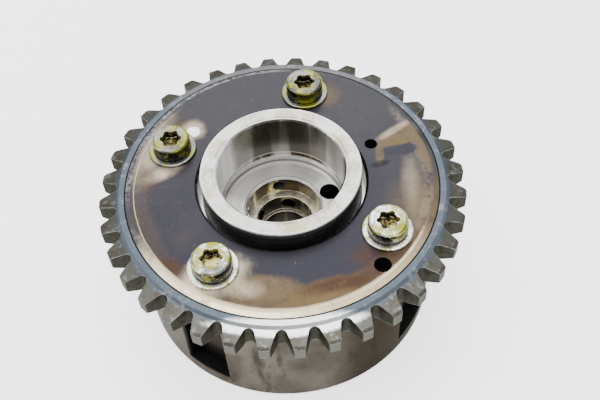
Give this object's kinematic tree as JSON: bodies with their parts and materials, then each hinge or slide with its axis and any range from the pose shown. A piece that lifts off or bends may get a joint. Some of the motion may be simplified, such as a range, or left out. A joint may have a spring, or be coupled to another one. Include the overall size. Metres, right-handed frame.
{
  "type": "camshaft phaser sprocket",
  "caption": "Hydraulic camshaft phaser with an integral timing-chain sprocket: vaned rotor and lock pin inside a bolted housing, cam cup on top.",
  "frame": {"origin": "on the rotation axis, in the plane of the front cover's outer face", "axes": "+Z along the rotation axis towards the camshaft; -Y towards the viewer of the reference view"},
  "size_m": [0.092, 0.092, 0.0454],
  "materials": {
    "sprocket_steel": "satin, blue-grey hardened steel",
    "plate_steel": "oily ground steel, dark with brown stains",
    "housing_steel": "satin sintered steel, warm grey",
    "cover_steel": "satin steel, warm grey",
    "rotor_steel": "turned steel, light",
    "bolt_zinc": "yellow-tinted zinc plating, worn",
    "washer_zinc": "yellow-tinted zinc plating, worn",
    "pin_steel": "ground steel",
    "spring_steel": "spring steel",
    "seal_plastic": "dark filled sealing plastic"
  },
  "bodies": {
    "housing": {"sprocket_ring": "sprocket_steel", "cam_cover_plate": "plate_steel", "stator_housing": "housing_steel", "front_cover": "cover_steel", "cover_dowel": "pin_steel", "cover_bolt_1": "bolt_zinc", "cover_bolt_2": "bolt_zinc", "cover_bolt_3": "bolt_zinc", "cover_bolt_4": "bolt_zinc", "bolt_washer_1": "washer_zinc", "bolt_washer_2": "washer_zinc", "bolt_washer_3": "washer_zinc", "bolt_washer_4": "washer_zinc", "lobe_seal_1": "seal_plastic", "lobe_seal_2": "seal_plastic", "lobe_seal_3": "seal_plastic", "lobe_seal_4": "seal_plastic", "lobe_seal_spring_1": "spring_steel", "lobe_seal_spring_2": "spring_steel", "lobe_seal_spring_3": "spring_steel", "lobe_seal_spring_4": "spring_steel"},
    "rotor": {"rotor": "rotor_steel", "lock_spring_seat": "pin_steel", "lock_pin_spring": "spring_steel", "vane_tip_seal_1": "seal_plastic", "vane_tip_seal_2": "seal_plastic", "vane_tip_seal_3": "seal_plastic", "vane_tip_seal_4": "seal_plastic", "vane_seal_spring_1": "spring_steel", "vane_seal_spring_2": "spring_steel", "vane_seal_spring_3": "spring_steel", "vane_seal_spring_4": "spring_steel"},
    "lock_pin": {"lock_pin": "pin_steel"}
  },
  "joints": [
    {"name": "rotor_turn", "type": "hinge", "parent": "housing", "child": "rotor", "pos_m": [0, 0, 0.0204], "axis": [0, 0, 1], "range_deg": [-24, 0]},
    {"name": "lock_pin_slide", "type": "slide", "parent": "rotor", "child": "lock_pin", "axis": [0, 0, 1], "range_m": [0, 0.003], "stiffness_N_per_m": 800, "deforming": ["lock_pin_spring"]}
  ]
}
